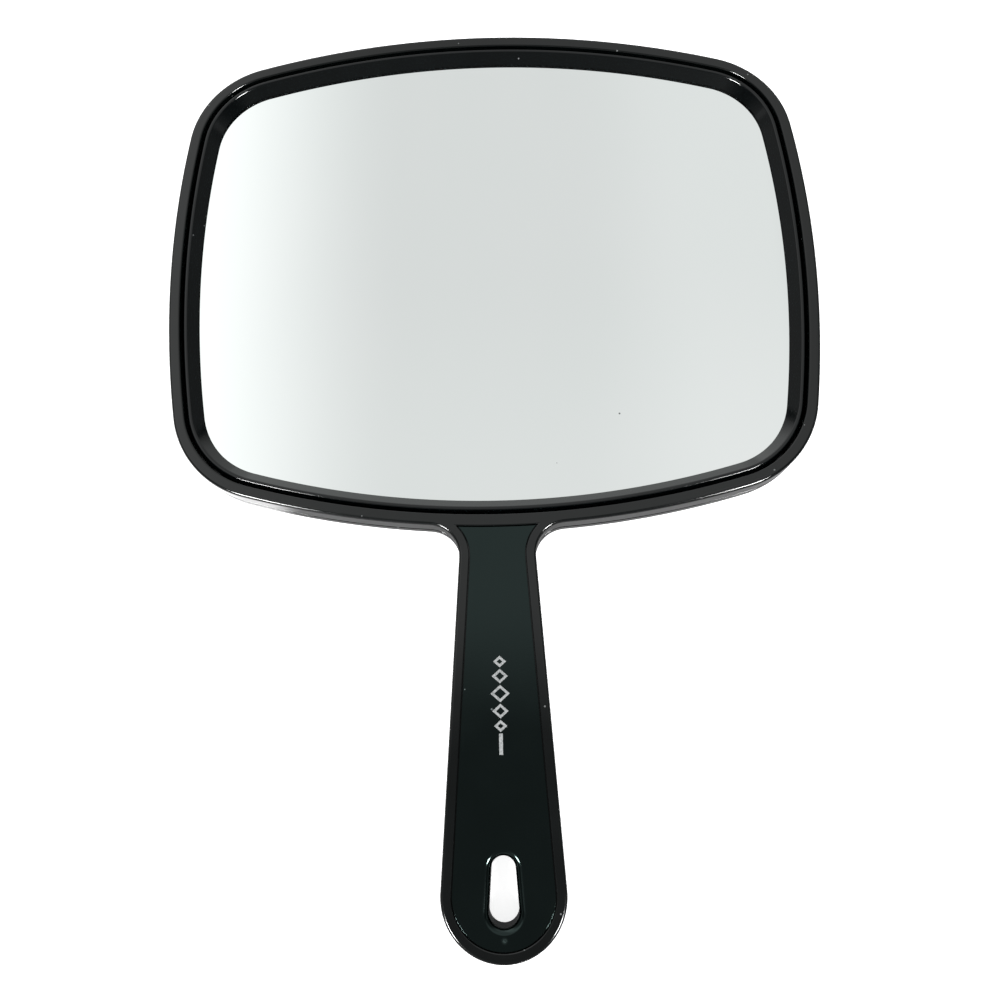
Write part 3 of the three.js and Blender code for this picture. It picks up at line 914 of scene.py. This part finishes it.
def room_brightness(tree, place):
    """What the glossy surfaces reflect, by direction: a pale ceiling that darkens towards the viewer,
    a bright window side on the left, a bright wall beyond the head and grey walls low down elsewhere."""
    axes = add(tree, "SeparateXYZ", {"Vector": place})
    across, ahead, up = (math_node(tree, "DIVIDE", axes.outputs[i], DOME_RADIUS) for i in range(3))
    height = math_node(tree, "MAXIMUM", up, LOWEST_HEIGHT)
    slope_x = math_node(tree, "DIVIDE", across, height)
    slope_y = math_node(tree, "DIVIDE", ahead, height)
    window_side = scaled(tree, slope_x, -0.12, -0.48, 0, 0.5, True)
    right_side = scaled(tree, slope_x, 0.08, 0.26, 0, 0.06, True)
    overhead = scaled(tree, slope_y, 0.55, 0.25, 0, 0.04, True)
    far_wall = scaled(tree, slope_y, 0.8, 2.2, 0, 0.25, True)
    ceiling = CEILING_BRIGHTNESS
    for extra in (window_side, right_side, overhead, far_wall):
        ceiling = math_node(tree, "ADD", ceiling, extra)
    viewer = scaled(tree, slope_y, 0.12, -0.03, 1, 0.25, True)
    sideways = math_node(tree, "ABSOLUTE", across)
    walls = scaled(tree, sideways, 0.42, 0.78, 1, 0.22, True)
    walls = math_node(tree, "MULTIPLY", walls, scaled(tree, slope_x, 0.34, 0.42, 1, 0.82, True))
    above = math_node(tree, "MULTIPLY", ceiling, math_node(tree, "MULTIPLY", viewer, walls))
    low_walls = scaled(tree, up, 0.42, 0.3, 0, LOW_WALL_BRIGHTNESS, True)
    elsewhere = scaled(tree, slope_y, 0.7, 0.3, 0, 1, True)
    return math_node(tree, "ADD", above, math_node(tree, "MULTIPLY", low_walls, elsewhere))


def reflected_room():
    """Half dome that only glossy surfaces see."""
    bm = bmesh.new()
    bmesh.ops.create_uvsphere(bm, u_segments=64, v_segments=32, radius=DOME_RADIUS)
    below = [vert for vert in bm.verts if vert.co.z < -DOME_DEPTH]
    bmesh.ops.delete(bm, geom=below, context="VERTS")
    dome = to_object(bm, "reflected_room")
    made, tree, shader, place = material("reflected_room")
    glow = add(tree, "Emission", {"Color": (0.985, 1.0, 0.995, 1), "Strength": room_brightness(tree, place)})
    output = tree.nodes["Material Output"]
    tree.links.new(glow.outputs[0], output.inputs["Surface"])
    tree.nodes.remove(shader)
    made.cycles.emission_sampling = "NONE"
    dome.data.materials.append(made)
    dome.visible_camera = False
    dome.visible_diffuse = False
    dome.visible_transmission = False
    dome.visible_volume_scatter = False
    dome.visible_shadow = False


def softbox(name, direction, distance, power):
    data = bpy.data.lights.new(name, "AREA")
    data.shape = "SQUARE"
    data.size = LIGHT_SIZE
    data.energy = power
    lamp = bpy.data.objects.new(name, data)
    lamp.location = direction.normalized() * distance
    lamp.rotation_mode = "QUATERNION"
    lamp.rotation_quaternion = direction.to_track_quat("Z", "Y")
    lamp.visible_camera = False
    bpy.context.scene.collection.objects.link(lamp)
    return lamp


def studio_lights():
    """Two soft lights, each with a brighter one just before it that only glossy surfaces see."""
    for side_name, direction in (("left", LEFT_LIGHT), ("right", RIGHT_LIGHT)):
        soft = softbox(side_name + "_softbox", direction, SOFTBOX_DISTANCE, SOFTBOX_POWER)
        soft.visible_glossy = False
        glint = softbox(side_name + "_glint", direction, GLINT_DISTANCE, GLINT_POWER)
        glint.visible_diffuse = False


def pale_world():
    world = bpy.data.worlds.new("studio")
    world.use_nodes = True
    background = world.node_tree.nodes["Background"]
    background.inputs["Color"].default_value = (0.96, 0.97, 0.975, 1)
    background.inputs["Strength"].default_value = 1.0
    bpy.context.scene.world = world


# The camera looks down on the mirror from above the handle; sensor and lens are in millimetres
CAMERA_PLACE = Vector((0.0033, -0.0837, 0.2859))
CAMERA_PITCH = -0.24435
CAMERA_YAW = -0.00852
CAMERA_ROLL = 0.0191
CAMERA_SENSOR = 36
CAMERA_LENS = 36.13
CAMERA_NEAR = 0.01


def camera():
    data = bpy.data.cameras.new("camera")
    data.sensor_width = CAMERA_SENSOR
    data.lens = CAMERA_LENS
    data.clip_start = CAMERA_NEAR
    to_camera = (
        Matrix.Rotation(CAMERA_ROLL, 3, "Z")
        @ Matrix.Rotation(CAMERA_PITCH, 3, "X")
        @ Matrix.Rotation(CAMERA_YAW, 3, "Y")
    )
    eye = bpy.data.objects.new("camera", data)
    eye.matrix_world = Matrix.Translation(CAMERA_PLACE) @ to_camera.transposed().to_4x4()
    bpy.context.scene.collection.objects.link(eye)
    bpy.context.scene.camera = eye


# ---------------------------------------------------------------- putting it together

def settle(piece, finish, slot, *nodes):
    """Gives a piece its material and its body, and hides the CAD nodes that it stands for. Its slot argument
    is not used.
    """
    piece.data.materials.clear()
    piece.data.materials.append(finish)
    even_normals(piece)
    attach(piece, "root")
    if nodes:
        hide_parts(*nodes)


casing = moulded_plastic("casing_plastic", CASING_BLACK, (0.08, 0.14), 0.1, 1.49)
bezel = moulded_plastic("bezel_plastic", BEZEL_BLACK, (0.07, 0.12), 0.05, 1.45)
insert = moulded_plastic("insert_plastic", INSERT_BLACK, (0.08, 0.13), 0.04, 1.45, INSERT_SHEEN, True)
foam = open_foam()
settle(front_frame(), casing, "casing_plastic", "front_frame")
settle(back_shell(), casing, "casing_plastic", "back_shell")
settle(bezel_ring(), bezel, "bezel_plastic", "bezel_ring")
settle(handle_insert(), insert, "insert_plastic", "handle_insert")
settle(mirror_pane(), silvered_glass(), "mirror_glass", "mirror_glass")
settle(ornament(), print_ink(), None)
for row_name in ("upper", "lower"):
    for side_name in ("left", "right"):
        pad_node = f"foam_pad_{row_name}_{side_name}"
        block = foam_block(pad_node)
        settle(block, foam, "white_foam", pad_node)

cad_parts["mirror_coating"].material_slots[0].material = silver_backing()
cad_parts["backing_board"].material_slots[0].material = pressed_board()

pale_floor()
reflected_room()
studio_lights()
pale_world()
camera()
bpy.context.scene.view_settings.view_transform = "Standard"

bpy.context.view_layer.update()
